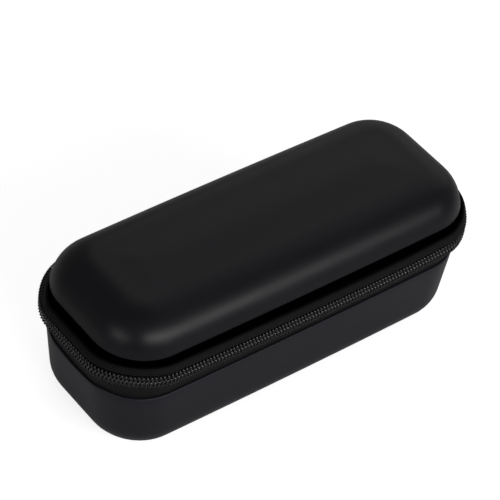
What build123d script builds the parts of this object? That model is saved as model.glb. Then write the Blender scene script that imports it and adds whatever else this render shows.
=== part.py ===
from build123d import *
import os
from math import sqrt

# Hard travel case for a beard trimmer: two moulded foam shells covered in coated
# cloth, hinged at the back by a cloth strip and closed by a coil zipper that runs
# round the other three sides. Millimetres, +Z up. The origin is at the middle of the
# face that the case rests on, +X is to its right and -Y is its front.

# Overall form
case_length = 180.0
case_width = 68.0
side_bow = 0.7
corner_radius = 22.4
base_height = 46.0
lid_height = 25.0
lid_edge_radius = 18.0
base_edge_radius = 12.0
base_end_inset = 3.4
base_side_inset = 1.0

# Wall layers
cover_thickness = 0.8
foam_thickness = 3.0
lining_thickness = 0.5

# Rims, measured up or down from the parting plane
lid_rim_gap = 9.0
base_rim_gap = 12.4
lid_sewn_depth = 10.8
base_sewn_depth = 15.0
lid_seam_ease = 0.45
lip_gap = 0.65
binding_thickness = 0.5
binding_leg = 3.4

# Zipper tape and chain, with distances measured outward from the outline of the case
tape_thickness = 0.6
tape_face = 2.3
tape_edge = 1.15
upper_tape_flat = 4.6
lower_tape_flat = 4.3
upper_tape_root = 7.2
lower_tape_root = 11.2
coil_depth = 2.3
coil_edge = 2.9
coil_root = 0.75
coil_overlap = 0.45
turn_pitch = 1.6
turn_width = 0.7
turn_root = 0.3
turn_inset = 0.2
coil_spread = 1.5

# Hinge at the back
hinge_half_length = 32.0
backing_thickness = 0.5
end_gap = 0.3

# Stops
stop_setback = 1.0
stop_length = 1.6
stop_wall = 0.5
stop_clearance = 0.15
stop_to_slider = 0.4

# Slider
slider_length = 12.5
slider_plate = 1.0
inner_plate = 0.9
slider_clearance = 0.25
slider_flange = 0.6
slider_corner = 1.0
slider_chamfer = 0.4
inner_plate_half = 3.8
inner_tail_half = 3.4
diamond_half = 0.85
diamond_length = 5.0
diamond_setback = 0.6
throat_length = 2.5
bridge_width = 2.6
bridge_thickness = 0.9
bridge_rise = 2.6
bridge_half_length = 4.6
bridge_radius = 1.4

# Pull tab
tab_thickness = 1.2
tab_neck_width = 6.0
tab_grip_width = 8.0
tab_length = 22.0
tab_neck_length = 9.0
tab_side_clearance = 0.35
tab_slot_length = 5.7
tab_lift = 0.25
tab_eye = 3.4

# Inside
strap_width = 25.0
strap_thickness = 1.2
strap_depth = 9.0
strap_tab = 4.6
strap_lay = 0.05
pocket_thickness = 0.5
pocket_edge = -10.0
pocket_rise = 5.0
pocket_hem_width = 4.0
pocket_hem_thickness = 1.6

# Worked out from the sizes above
parting = base_height
case_height = base_height + lid_height
lining_face = cover_thickness + foam_thickness
wall = lining_face + lining_thickness
base_lip_face = cover_thickness + tape_thickness
lid_lip_face = cover_thickness + lid_seam_ease + tape_thickness
coil_face = tape_face + coil_depth
bow_radius = ((case_length / 2) ** 2 + side_bow**2) / (2 * side_bow)
base_draft_top = base_height - base_sewn_depth
chain_end = hinge_half_length + stop_setback
slider_start = chain_end + stop_length + stop_to_slider
slider_end = slider_start + slider_length
mesh_start = slider_end - throat_length
diamond_start = slider_start + diamond_setback
diamond_end = diamond_start + diamond_length
fork_end = diamond_end - diamond_length * 0.3
tab_pivot = (slider_start + slider_end) / 2
plate_face = coil_face + slider_clearance + slider_plate
far = case_length


def back_line(x):
    """Y of the case outline at the back, at a given X."""
    return case_width / 2 + side_bow - bow_radius + sqrt(bow_radius**2 - x**2)


def outline(growth, height, end_inset=0.0, side_inset=0.0):
    """Plan outline of the case: bowed long sides, straight ends, round corners."""
    half_length = case_length / 2 - end_inset
    half_width = case_width / 2 - side_inset
    with BuildSketch(Plane.XY.offset(height)) as plan:
        with BuildLine():
            ThreePointArc(
                (-half_length, -half_width),
                (0, -half_width - side_bow),
                (half_length, -half_width),
            )
            Line((half_length, -half_width), (half_length, half_width))
            ThreePointArc(
                (half_length, half_width),
                (0, half_width + side_bow),
                (-half_length, half_width),
            )
            Line((-half_length, half_width), (-half_length, -half_width))
        make_face()
        fillet(plan.vertices(), corner_radius)
        if growth:
            offset(amount=growth)
    return plan.sketch


def lid_form(inset, edge_height):
    """Solid outer form of the lid at a depth inside its surface, cut off at its rim."""
    with BuildPart() as form:
        extrude(outline(-inset, parting), amount=lid_height - inset)
        fillet(form.faces().sort_by(Axis.Z)[-1].edges(), lid_edge_radius - inset)
        split(bisect_by=Plane.XY.offset(parting + edge_height), keep=Keep.TOP)
    return form.part


def base_form(inset, edge_depth):
    """Solid outer form of the base at a depth inside its surface, cut off at its rim."""
    with BuildPart() as form:
        top_plan = outline(-inset, base_draft_top)
        floor_plan = outline(-inset, inset, base_end_inset, base_side_inset)
        loft([floor_plan, top_plan], ruled=True)
        fillet(form.faces().sort_by(Axis.Z)[0].edges(), base_edge_radius - inset)
        extrude(outline(-inset, base_draft_top), amount=base_sewn_depth - edge_depth)
    return form.part


def rim_ring(outer, inner, low, high):
    """Ring of the wall between two growths of the outline and two heights."""
    with BuildPart() as ring:
        extrude(outline(outer, low), amount=high - low)
        extrude(outline(inner, low), amount=high - low, mode=Mode.SUBTRACT)
    return ring.part


def edge_strip(section, thickness):
    """Strip of cloth swept right round the case; section lists (outward, up) points."""
    path = outline(0, parting).faces()[0].outer_wire()
    start = path @ 0
    along = path % 0
    outward = Vector(along.Y, -along.X, 0)
    if outward.dot(start) < 0:
        outward = -outward
    with BuildPart() as strip:
        with BuildSketch(Plane(start, outward, outward.cross(Vector(0, 0, 1)))):
            with BuildLine() as centre:
                Polyline(*section)
            trace(line_width=thickness)
        sweep(path=path)
    return strip.part


def hinge_window(half_length):
    """Block at the back of the case that spans the hinge."""
    with BuildPart() as window:
        with BuildSketch(Plane.XY.offset(-far)):
            with Locations((0, far / 2)):
                Rectangle(2 * half_length, far)
        extrude(amount=3 * far)
    return window.part


def back_plane(outward, place=tab_pivot):
    """Plane parallel to the back of the case, its origin on the parting plane."""
    return Plane((0, back_line(place) + outward, parting), (1, 0, 0), (0, -1, 0))


# Covers: coated cloth moulded over the foam
with BuildPart() as lid_cover:
    add(lid_form(0, lid_rim_gap))
    add(lid_form(cover_thickness, lid_rim_gap), mode=Mode.SUBTRACT)

with BuildPart() as base_cover:
    add(base_form(0, base_rim_gap))
    add(base_form(cover_thickness, base_rim_gap), mode=Mode.SUBTRACT)

# Foam shells, each with a thin lip that the zipper tape is sewn to
with BuildPart() as lid_foam:
    add(lid_form(cover_thickness, lip_gap))
    add(lid_form(lining_face, lip_gap), mode=Mode.SUBTRACT)
    add(
        rim_ring(1, -lid_lip_face, parting, parting + lid_sewn_depth),
        mode=Mode.SUBTRACT,
    )

with BuildPart() as base_foam:
    add(base_form(cover_thickness, lip_gap))
    add(base_form(lining_face, lip_gap), mode=Mode.SUBTRACT)
    add(
        rim_ring(1, -base_lip_face, base_draft_top, parting),
        mode=Mode.SUBTRACT,
    )

# Linings
with BuildPart() as lid_lining:
    add(lid_form(lining_face, lip_gap))
    add(lid_form(wall, lip_gap), mode=Mode.SUBTRACT)

with BuildPart() as base_lining:
    add(base_form(lining_face, lip_gap))
    add(base_form(wall, lip_gap), mode=Mode.SUBTRACT)

# Zipper tapes: sewn leg under the cover, slope out of the seam, flat run for the coil
upper_sewn_line = tape_thickness / 2 - lid_lip_face
lower_sewn_line = tape_thickness / 2 - base_lip_face
flat_line = tape_face - tape_thickness / 2

with BuildPart() as upper_zip_tape:
    add(
        edge_strip(
            [
                (upper_sewn_line, lid_sewn_depth),
                (upper_sewn_line, upper_tape_root),
                (flat_line, upper_tape_flat),
                (flat_line, tape_edge),
            ],
            tape_thickness,
        )
    )
    add(hinge_window(hinge_half_length), mode=Mode.SUBTRACT)

with BuildPart() as lower_zip_tape:
    add(
        edge_strip(
            [
                (lower_sewn_line, -base_sewn_depth),
                (lower_sewn_line, -lower_tape_root),
                (flat_line, -lower_tape_flat),
                (flat_line, -tape_edge),
            ],
            tape_thickness,
        )
    )
    add(hinge_window(hinge_half_length), mode=Mode.SUBTRACT)

# Hinge: a cloth strip in the seam line of the tapes, with a backing behind it
backing_line = flat_line - tape_thickness / 2 - backing_thickness / 2

with BuildPart() as hinge_strip:
    add(
        edge_strip(
            [
                (upper_sewn_line, lid_sewn_depth),
                (upper_sewn_line, upper_tape_root),
                (flat_line, upper_tape_flat),
                (flat_line, -lower_tape_flat),
                (lower_sewn_line, -lower_tape_root),
                (lower_sewn_line, -base_sewn_depth),
            ],
            tape_thickness,
        )
    )
    add(hinge_window(hinge_half_length - end_gap), mode=Mode.INTERSECT)


with BuildPart() as hinge_backing:
    add(
        edge_strip(
            [
                (backing_line, upper_tape_flat - tape_thickness),
                (backing_line, -lower_tape_flat + tape_thickness),
            ],
            backing_thickness,
        )
    )
    add(hinge_window(hinge_half_length - end_gap), mode=Mode.INTERSECT)

# Bindings: cloth turned over the cut edges of the lips, inside the mouth
binding_line = -wall - binding_thickness / 2
binding_top = lip_gap - binding_thickness / 2

with BuildPart() as lid_binding:
    add(
        edge_strip(
            [
                (binding_line, lip_gap + binding_leg),
                (binding_line, binding_top),
                (-lid_lip_face, binding_top),
            ],
            binding_thickness,
        )
    )

with BuildPart() as base_binding:
    add(
        edge_strip(
            [
                (binding_line, -lip_gap - binding_leg),
                (binding_line, -binding_top),
                (-base_lip_face, -binding_top),
            ],
            binding_thickness,
        )
    )


def fork_run(side):
    """Last stretch of coil, which parts from its fellow round the slider's diamond."""
    foot = Vector(chain_end, back_line(chain_end) + tape_face, parting)
    head = Vector(mesh_start, back_line(mesh_start) + tape_face, parting)
    bend = fork_end - chain_end
    length = (head - foot).length
    facing = (head - foot).cross(Vector(0, 0, 1))
    with BuildPart() as run:
        with BuildSketch(Plane(foot, head - foot, facing)):
            with BuildLine():
                Polyline(
                    (0, side * (coil_root + coil_spread)),
                    (bend, side * (coil_root + coil_spread)),
                    (length, side * coil_root),
                    (length, side * coil_edge),
                    (bend, side * (coil_edge + coil_spread)),
                    (0, side * (coil_edge + coil_spread)),
                    close=True,
                )
            make_face()
        extrude(amount=-coil_depth)
    return run.part


def turn_places(side, phase):
    """Where the turns of one coil half stand round the case, clear of the hinge."""
    chain = outline(tape_face + coil_depth / 2, parting).faces()[0].outer_wire()
    count = round(chain.length / turn_pitch)
    tip_middle = (coil_root + turn_root - coil_overlap) / 2
    places = []
    for turn in range(count):
        point = chain @ ((turn + phase) / count)
        heading = chain % ((turn + phase) / count)
        at_back = point.Y > 0
        if at_back and abs(point.X) < chain_end + turn_width:
            continue
        spread = 0.0
        if at_back and point.X > 0:
            along_fork = (mesh_start - point.X) / (mesh_start - fork_end)
            spread = coil_spread * min(max(along_fork, 0.0), 1.0)
        height = parting + side * (tip_middle + spread)
        turned = Vector(1, 0, 0).get_signed_angle(heading, Vector(0, 0, 1))
        places.append(Location((point.X, point.Y, height), (0, 0, turned)))
    return places


def coil_half(side, phase):
    """One half of the coil; side is 1 for the lid's half and -1 for the base's."""
    low = parting + min(side * coil_root, side * coil_edge)
    with BuildPart() as coil:
        add(rim_ring(coil_face, tape_face, low, low + coil_edge - coil_root))
        with BuildSketch(Plane.XY.offset(low)):
            with Locations(((mesh_start - chain_end) / 2, far / 2)):
                Rectangle(mesh_start + chain_end, far)
        extrude(amount=coil_edge - coil_root, mode=Mode.SUBTRACT)
        add(fork_run(side))
        with Locations(*turn_places(side, phase)):
            Box(turn_width, coil_depth - 2 * turn_inset, coil_overlap + coil_root + turn_root)
    return coil.part


with BuildPart() as upper_zip_coil:
    add(coil_half(1, 0.0))

with BuildPart() as lower_zip_coil:
    add(coil_half(-1, 0.5))


def coil_stop(start, low, high):
    """Cap crimped over the coil between two heights from the parting plane."""
    middle = start + stop_length / 2
    opening = high - low + 2 * stop_clearance
    depth = coil_depth + stop_clearance
    with BuildPart() as stop:
        with BuildSketch(back_plane(tape_face, middle)):
            with Locations((middle, (low + high) / 2)):
                Rectangle(stop_length, opening + 2 * stop_wall)
        extrude(amount=-depth - stop_wall)
        with BuildSketch(back_plane(tape_face, middle)):
            with Locations((middle, (low + high) / 2)):
                Rectangle(stop_length, opening)
        extrude(amount=-depth, mode=Mode.SUBTRACT)
    return stop.part


with BuildPart() as upper_top_stop:
    add(coil_stop(chain_end, coil_spread - coil_overlap, coil_spread + coil_edge))

with BuildPart() as lower_top_stop:
    add(coil_stop(chain_end, -coil_spread - coil_edge, coil_overlap - coil_spread))

with BuildPart() as bottom_stop:
    add(coil_stop(-chain_end - stop_length, -coil_edge, coil_edge))


def slider_outline(outward, nose_half, tail_half, corner=0.0):
    """Plan of a slider plate: wide over the fork, narrow over the closed chain."""
    with BuildSketch(back_plane(outward)) as plan:
        with BuildLine():
            Polyline(
                (slider_start, -nose_half),
                (fork_end, -nose_half),
                (mesh_start, -tail_half),
                (slider_end, -tail_half),
                (slider_end, tail_half),
                (mesh_start, tail_half),
                (fork_end, nose_half),
                (slider_start, nose_half),
                close=True,
            )
        make_face()
        if corner:
            ends = plan.vertices().group_by(Axis.X)
            fillet(ends[0] + ends[-1], corner)
    return plan.sketch


# Slider: inner and outer plate, side flanges round the chain, and the diamond between
channel_nose = coil_edge + coil_spread + slider_clearance
channel_tail = coil_edge + slider_clearance
flange_nose = channel_nose + slider_flange
flange_tail = channel_tail + slider_flange
inner_face = tape_face - tape_thickness - slider_clearance - inner_plate
channel_face = tape_face + slider_clearance

with BuildPart() as slider_body:
    plate_plan = slider_outline(channel_face, flange_nose, flange_tail, slider_corner)
    extrude(plate_plan, amount=-(plate_face - channel_face))
    chamfer(slider_body.faces().sort_by(Axis.Y)[-1].edges(), slider_chamfer)
    channel_plan = slider_outline(channel_face, channel_nose, channel_tail)
    extrude(channel_plan, amount=-coil_depth, mode=Mode.SUBTRACT)
    with BuildSketch(back_plane(channel_face)):
        with Locations((slider_start, 0), (slider_end, 0)):
            Rectangle(slider_flange * 2, channel_tail * 2)
        with Locations((slider_start, 0)):
            Rectangle(slider_flange * 2, channel_nose * 2)
    extrude(amount=-coil_depth, mode=Mode.SUBTRACT)
    inner_plan = slider_outline(
        inner_face, inner_plate_half, inner_tail_half, slider_corner
    )
    extrude(inner_plan, amount=-inner_plate)
    with BuildSketch(back_plane(inner_face)):
        with BuildLine():
            Polyline(
                (diamond_start, -diamond_half / 2),
                (diamond_start + diamond_half, -diamond_half),
                (fork_end, -diamond_half),
                (diamond_end, 0),
                (fork_end, diamond_half),
                (diamond_start + diamond_half, diamond_half),
                (diamond_start, diamond_half / 2),
                close=True,
            )
        make_face()
    extrude(amount=-(coil_face + slider_clearance - inner_face))

# Bridge: the bent strip on the slider that holds the pull tab
bridge_foot = back_line(tab_pivot) + plate_face
bridge_post = bridge_half_length - bridge_thickness / 2

with BuildPart() as slider_bridge:
    with BuildSketch(Plane.XY.offset(parting - bridge_width / 2)):
        with BuildLine():
            FilletPolyline(
                (tab_pivot - bridge_post, bridge_foot),
                (tab_pivot - bridge_post, bridge_foot + bridge_rise - bridge_thickness / 2),
                (tab_pivot + bridge_post, bridge_foot + bridge_rise - bridge_thickness / 2),
                (tab_pivot + bridge_post, bridge_foot),
                radius=bridge_radius,
            )
        trace(line_width=bridge_thickness)
    extrude(amount=bridge_width)

# Pull tab: round bar under the bridge, two arms past it and a flat grip with an eye
tab_end = tab_pivot + tab_length
slot_half = bridge_width / 2 + tab_side_clearance

with BuildPart() as pull_tab:
    with BuildSketch(back_plane(plate_face + tab_lift)) as tab_plan:
        with BuildLine():
            Polyline(
                (tab_pivot, -tab_neck_width / 2),
                (tab_pivot + tab_neck_length, -tab_neck_width / 2),
                (tab_pivot + tab_neck_length + tab_grip_width / 2, -tab_grip_width / 2),
                (tab_end, -tab_grip_width / 2),
                (tab_end, tab_grip_width / 2),
                (tab_pivot + tab_neck_length + tab_grip_width / 2, tab_grip_width / 2),
                (tab_pivot + tab_neck_length, tab_neck_width / 2),
                (tab_pivot, tab_neck_width / 2),
                close=True,
            )
        make_face()
        fillet(tab_plan.vertices().group_by(Axis.X)[-1], tab_grip_width * 0.4)
        with Locations((tab_pivot + tab_slot_length / 2, 0)):
            Rectangle(tab_slot_length, 2 * slot_half, mode=Mode.SUBTRACT)
        with Locations((tab_end - tab_grip_width / 2, 0)):
            Circle(tab_eye / 2, mode=Mode.SUBTRACT)
    extrude(amount=-tab_thickness)
    with BuildSketch(Plane.XY.offset(parting - tab_neck_width / 2)):
        with Locations((tab_pivot, bridge_foot + tab_lift + tab_thickness / 2)):
            Circle(tab_thickness / 2)
    extrude(amount=tab_neck_width)

# Inside the base: an elastic strap across the bay, its ends sewn to the lining
strap_reach = case_width / 2 + side_bow - wall - strap_thickness / 2 - strap_lay
strap_height = parting - strap_depth

with BuildPart() as device_strap:
    with BuildSketch(Plane.YZ.offset(-strap_width / 2)):
        with BuildLine():
            Polyline(
                (-strap_reach, strap_height + strap_tab),
                (-strap_reach, strap_height),
                (strap_reach, strap_height),
                (strap_reach, strap_height + strap_tab),
            )
        trace(line_width=strap_thickness)
    extrude(amount=strap_width)


def lid_slab(front, back, low, thickness):
    """Flat panel that fills the lid's mouth between two places front to back."""
    with BuildPart() as slab:
        extrude(outline(-wall, low), amount=thickness)
        with BuildSketch(Plane.XY.offset(low)):
            with Locations((0, (front + back) / 2)):
                Rectangle(2 * far, back - front)
        extrude(amount=thickness, mode=Mode.INTERSECT)
    return slab.part


# Inside the lid: a net pocket over the back part, with an elastic hem on its edge
pocket_height = parting + pocket_rise
hem_height = pocket_height + (pocket_thickness - pocket_hem_thickness) / 2

with BuildPart() as mesh_pocket:
    add(lid_slab(pocket_edge, far, pocket_height, pocket_thickness))

with BuildPart() as pocket_hem:
    add(
        lid_slab(
            pocket_edge - pocket_hem_width, pocket_edge, hem_height, pocket_hem_thickness
        )
    )

pieces = {
    "base_cover": base_cover,
    "base_foam": base_foam,
    "base_lining": base_lining,
    "base_binding": base_binding,
    "lower_zip_tape": lower_zip_tape,
    "lower_zip_coil": lower_zip_coil,
    "lower_top_stop": lower_top_stop,
    "bottom_stop": bottom_stop,
    "device_strap": device_strap,
    "hinge_strip": hinge_strip,
    "hinge_backing": hinge_backing,
    "lid_cover": lid_cover,
    "lid_foam": lid_foam,
    "lid_lining": lid_lining,
    "lid_binding": lid_binding,
    "upper_zip_tape": upper_zip_tape,
    "upper_zip_coil": upper_zip_coil,
    "upper_top_stop": upper_top_stop,
    "mesh_pocket": mesh_pocket,
    "pocket_hem": pocket_hem,
    "slider_body": slider_body,
    "slider_bridge": slider_bridge,
    "pull_tab": pull_tab,
}

os.makedirs("parts", exist_ok=True)
for name, piece in pieces.items():
    piece.part.label = name
    export_step(piece.part, f"parts/{name}.step")
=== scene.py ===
"""Finish of a hard travel case with a coil zipper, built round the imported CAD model."""

from math import asin, atan2, cos, pi, radians, sin, sqrt

import bmesh
import bpy
import numpy as np
from bpy.props import FloatProperty, FloatVectorProperty, PointerProperty
from mathutils import Matrix, Quaternion, Vector


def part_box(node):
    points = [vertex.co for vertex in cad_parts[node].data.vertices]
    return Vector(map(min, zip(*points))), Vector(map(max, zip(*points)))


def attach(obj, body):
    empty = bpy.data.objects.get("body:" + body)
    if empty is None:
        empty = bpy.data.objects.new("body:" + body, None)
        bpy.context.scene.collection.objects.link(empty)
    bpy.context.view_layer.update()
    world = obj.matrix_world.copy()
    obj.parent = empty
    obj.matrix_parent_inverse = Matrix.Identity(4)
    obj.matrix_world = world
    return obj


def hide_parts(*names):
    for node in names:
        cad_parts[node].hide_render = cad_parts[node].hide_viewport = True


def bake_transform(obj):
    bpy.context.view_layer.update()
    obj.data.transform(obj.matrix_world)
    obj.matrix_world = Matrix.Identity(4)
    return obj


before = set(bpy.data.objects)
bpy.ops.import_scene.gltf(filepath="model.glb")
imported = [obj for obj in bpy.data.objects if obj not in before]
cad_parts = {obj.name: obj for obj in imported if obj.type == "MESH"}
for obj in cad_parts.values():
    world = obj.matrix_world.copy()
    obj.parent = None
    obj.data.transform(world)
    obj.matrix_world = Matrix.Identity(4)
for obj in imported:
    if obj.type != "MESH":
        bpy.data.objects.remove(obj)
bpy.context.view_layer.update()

bl_info = {
    "name": "Travel Case Finish",
    "version": (1, 0, 0),
    "blender": (4, 5, 0),
    "location": "View3D > Sidebar > Travel Case",
    "description": "Covers, linings, zipper, hinge and fittings of a hard travel case",
    "category": "Object",
}

# Layers of the wall and gaps of the seams, in millimetres
COVER = 0.8
LINING_FACE = 3.8
WALL = 4.3
LIP_GAP = 0.65
LID_RIM = 9.0
BASE_RIM = -12.4
BASE_DRAFT = -15.0

# Zipper, as distances outward from the outline of the case and up from the parting
TAPE_THICKNESS = 0.6
TAPE_FACE = 2.3
TAPE_EDGE = 1.15
LID_SEWN_LINE = -1.55
BASE_SEWN_LINE = -1.1
LID_SEWN_LEG = (10.6, 6.9)
BASE_SEWN_LEG = (-14.8, -11.2)
LID_TAPE_FLAT = 4.6
BASE_TAPE_FLAT = -4.3
BASE_RIM_DIP = 2.2
DIP_HALF = 18.0
COIL_DEPTH = 2.3
COIL_EDGE = 2.9
COIL_TIP = 0.45
CHAIN_END = 33.0
FORK_BEND = 39.1
MESH_START = 45.0
FORK_SPREAD = 1.5
CORNER_CUT = 0.27
HINGE_HALF = 32.0
HINGE_GAP = 0.3
BACKING_THICKNESS = 0.5
BACKING_ENDS = (4.0, -3.7)
SEAM_ROUND = 1.3

# Covers' edges where the cloth turns in, as (outward, up) from the rim
LID_TURNED = (
    (-0.09, 0.75), (-0.12, 0.4), (-0.24, 0.14), (-0.45, 0.0), (-0.66, 0.06), (-0.78, 0.35),
)
BASE_TURNED = ((-0.76, -0.2), (-0.62, -0.03), (-0.4, 0.0), (-0.16, -0.1), (-0.03, -0.35))

# Upper tape where it bulges in front, from its root in the seam down to its flat part
FULL_TAPE_ROOT = 6.3
FULL_TAPE_BULGE = ((1.3, 5.9), (2.5, 6.5), (4.1, 3.9), (3.4, 3.3))
FULL_TAPE_FLAT = 3.25

# Bindings, strap and pocket
BINDING_THICKNESS = 0.5
BINDING_LEG = 4.05
BINDING_FOLD = 0.4
BINDING_SEAM = 2.9
STRAP_THICKNESS = 1.2
STRAP_LAY = 0.65
STRAP_DEPTH = 9.0
STRAP_LEG = 4.6
NET_HEIGHT = 5.25
NET_FRONT = -10.0
NET_BELLY = 0.8
HEM_HALF = 2.0

# Heights of the covers' rims that carry a painted highlight, and how much of the tape's map is
# painted dark as painted shade, in metres
LID_PAINTED_HIGHLIGHT = 0.0553
BASE_PAINTED_HIGHLIGHT = 0.0335
TAPE_PAINTED_SHADE = 0.0048
TAPE_SHADE_FADE = 0.0016
HERRINGBONE = 0.003

# Stage, in metres, and the middle of the view in a picture of 500 pixels
VIEW_MIDDLE = (0, 0, 0.03)
FLOOR_HALF = 0.4
LAMP_AWAY = 1.2
PICTURE = 500
PICTURE_MIDDLE = (254.27, 283.83)

# Heights of the zipper above its plane at places along the front
ZIPPER_LIE = (
    (-90, 0.6), (-66, 1.2), (-48, 0.7), (-24, 0.3), (0, -0.2), (24, -0.5), (48, -0.4),
    (66, 0.5), (90, 0.3),
)

# Steps of a quarter of the outline: bowed side, round corner, straight end
SIDE_STEPS = 14
CORNER_STEPS = 14
END_STEPS = 4


def srgb(code):
    """Linear colour of an sRGB hex value."""
    shares = [int(code[place:place + 2], 16) / 255 for place in (0, 2, 4)]
    return tuple(
        share / 12.92 if share <= 0.04045 else ((share + 0.055) / 1.055) ** 2.4
        for share in shares
    )


def mm(metres):
    """Millimetres of a length in metres."""
    return metres * 1000


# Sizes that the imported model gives
lid_low, lid_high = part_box("lid_cover")


def length_property(name, description, default):
    """A length that a user may change."""
    return FloatProperty(
        name=name, description=description, default=default, unit="LENGTH", precision=5
    )


def colour_property(name, description, code):
    """A colour that a user may change."""
    return FloatVectorProperty(
        name=name, description=description, default=srgb(code), subtype="COLOR",
        min=0.0, max=1.0,
    )


class CaseShape(bpy.types.PropertyGroup):
    """Form of the two shells"""

    length: length_property("Length", "End to end of the lid", lid_high.x - lid_low.x)
    width: length_property(
        "Width", "Front to back at the corners", lid_high.y - lid_low.y - 0.0014
    )
    height: length_property("Height", "Floor to the top of the lid", lid_high.z)
    parting: length_property(
        "Parting", "Height of the plane between base and lid", 0.046
    )
    side_bow: length_property("Side bow", "How far the long sides bow out", 0.0007)
    corner_radius: length_property("Corner radius", "Round of the plan corners", 0.0224)
    lid_round: length_property("Lid edge round", "Radius round the top of the lid", 0.018)
    base_round: length_property("Base edge round", "Radius round the floor", 0.012)
    end_draft: length_property("End draft", "How far the base's ends lean in", 0.0034)
    side_draft: length_property("Side draft", "How far the base's sides lean in", 0.001)
    crown: length_property("Crown", "Rise of the lid's top in its middle", 0.0008)


class ZipperShape(bpy.types.PropertyGroup):
    """Turns and threads of the zipper"""

    pitch: length_property("Turn pitch", "From one turn of a coil to the next", 0.0016)
    filament: length_property("Filament", "Thickness of the coil's filament", 0.00068)
    thread: length_property("Thread", "Thickness of the sewing thread", 0.0003)
    weave: length_property("Weave", "From one rib of the tape's weave to the next", 0.0012)


class InsideShape(bpy.types.PropertyGroup):
    """Pocket and strap"""

    net_cell: length_property("Net cell", "Width of one cell of the net", 0.0020)
    net_yarn: length_property("Net yarn", "Thickness of the net's yarn", 0.0005)
    strap_width: length_property("Strap width", "Width of the elastic strap", 0.025)
    strap_sag: length_property("Strap sag", "How far the strap dips", 0.0004)
    stitch: length_property("Stitch", "From one stitch of a seam to the next", 0.003)


class CaseColours(bpy.types.PropertyGroup):
    """Colours of the finishes"""

    lid: colour_property("Lid", "Coated cloth of the lid", "111116")
    base: colour_property("Base", "Coated cloth of the base", "1b1a22")
    tape: colour_property("Tape", "Woven zipper tape", "121212")
    coil: colour_property("Coil", "Nylon filament", "0b0b0c")
    thread: colour_property("Thread", "Sewing thread", "161617")
    lining: colour_property("Lining", "Knit lining", "1c1c1f")
    foam: colour_property("Foam", "Moulded foam", "1a1a1b")
    elastic: colour_property("Elastic", "Woven elastic", "161617")
    metal: colour_property("Metal", "Coat of the slider and stops", "131314")


class StageSettings(bpy.types.PropertyGroup):
    """Camera and lamps"""

    azimuth: FloatProperty(
        name="Azimuth", description="Turn of the view round the case, from its front",
        default=radians(-42.967), unit="ROTATION",
    )
    elevation: FloatProperty(
        name="Elevation", description="Height of the view above the floor",
        default=radians(44.186), unit="ROTATION",
    )
    roll: FloatProperty(
        name="Roll", description="Tilt of the camera about its own axis",
        default=radians(8.318), unit="ROTATION",
    )
    distance: length_property("Distance", "Camera to the middle of the case", 1.00067)
    focal: FloatProperty(
        name="Focal length", description="Focal length in widths of the picture",
        default=2440.9 / PICTURE,
    )
    key: FloatProperty(
        name="Key", description="Power of the softbox in front, in watts", default=6.5,
    )
    fill: FloatProperty(
        name="Fill", description="Power of the softbox behind, to the right", default=2.2,
    )
    edge: FloatProperty(
        name="Edge", description="Power of the small softbox on the left", default=1.4,
    )
    surround: FloatProperty(
        name="Surround", description="Strength of the room's light", default=0.16,
    )


# Form of the case


def bow_circle(half_length, half_width, bow):
    """Radius of a bowed long side, and how far along Y its centre is."""
    bow_radius = (half_length**2 + bow**2) / (2 * bow)
    return bow_radius, half_width + bow - bow_radius


def outline(shape, end_inset=0.0, side_inset=0.0):
    """Stations of the plan outline, anticlockwise from the middle of the back: points
    and outward directions."""
    half_length = mm(shape.length) / 2 - end_inset
    half_width = mm(shape.width) / 2 - side_inset
    corner = mm(shape.corner_radius)
    bow_radius, bow_centre = bow_circle(half_length, half_width, mm(shape.side_bow))
    corner_x = half_length - corner
    corner_y = bow_centre + sqrt((bow_radius - corner) ** 2 - corner_x**2)
    join = atan2(corner_y - bow_centre, corner_x)
    quarter = []
    for step in range(SIDE_STEPS):
        angle = pi / 2 + (join - pi / 2) * step / SIDE_STEPS
        facing = np.array([cos(angle), sin(angle)])
        quarter.append((bow_radius * facing + (0, bow_centre), facing))
    for step in range(CORNER_STEPS):
        angle = join * (1 - step / CORNER_STEPS)
        facing = np.array([cos(angle), sin(angle)])
        quarter.append((corner * facing + (corner_x, corner_y), facing))
    for step in range(END_STEPS + 1):
        point = np.array([half_length, corner_y * (1 - step / END_STEPS)])
        quarter.append((point, np.array([1.0, 0.0])))
    stations = []
    for flip, backwards in (((-1, 1), 0), ((-1, -1), 1), ((1, -1), 0), ((1, 1), 1)):
        turned = [(point * flip, facing * flip) for point, facing in quarter]
        stations += (turned[::-1] if backwards else turned)[:-1]
    points, facings = (np.array(part) for part in zip(*stations))
    return points, facings


def zip_line(shape, start, stop=None):
    """Stations from the left of the hinge, round the front, to the right of it."""
    stop = -start if stop is None else stop
    points, facings = outline(shape)
    bow_radius, bow_centre = bow_circle(
        mm(shape.length) / 2, mm(shape.width) / 2, mm(shape.side_bow)
    )
    between = (points[:, 0] > start - 0.5) & (points[:, 0] < stop + 0.5)
    at_back = (points[:, 1] > 0) & between
    ends = []
    for x in (start, stop):
        place = np.array([x, bow_centre + sqrt(bow_radius**2 - x**2)])
        ends.append((place, np.array([x, place[1] - bow_centre]) / bow_radius))
    points = np.vstack([ends[0][0], points[~at_back], ends[1][0]])
    facings = np.vstack([ends[0][1], facings[~at_back], ends[1][1]])
    return points, facings


def hinge_line(shape, half, steps=16):
    """Stations along the back of the case, from left to right."""
    bow_radius, bow_centre = bow_circle(
        mm(shape.length) / 2, mm(shape.width) / 2, mm(shape.side_bow)
    )
    across = np.linspace(half, -half, steps + 1)
    points = np.column_stack([across, bow_centre + np.sqrt(bow_radius**2 - across**2)])
    facings = (points - (0, bow_centre)) / bow_radius
    return points, facings


def ring(points, facings, growth, height):
    """The outline grown outward and put at a height."""
    flat = points + facings * growth
    return np.column_stack([flat, np.full(len(flat), height)])


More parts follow.
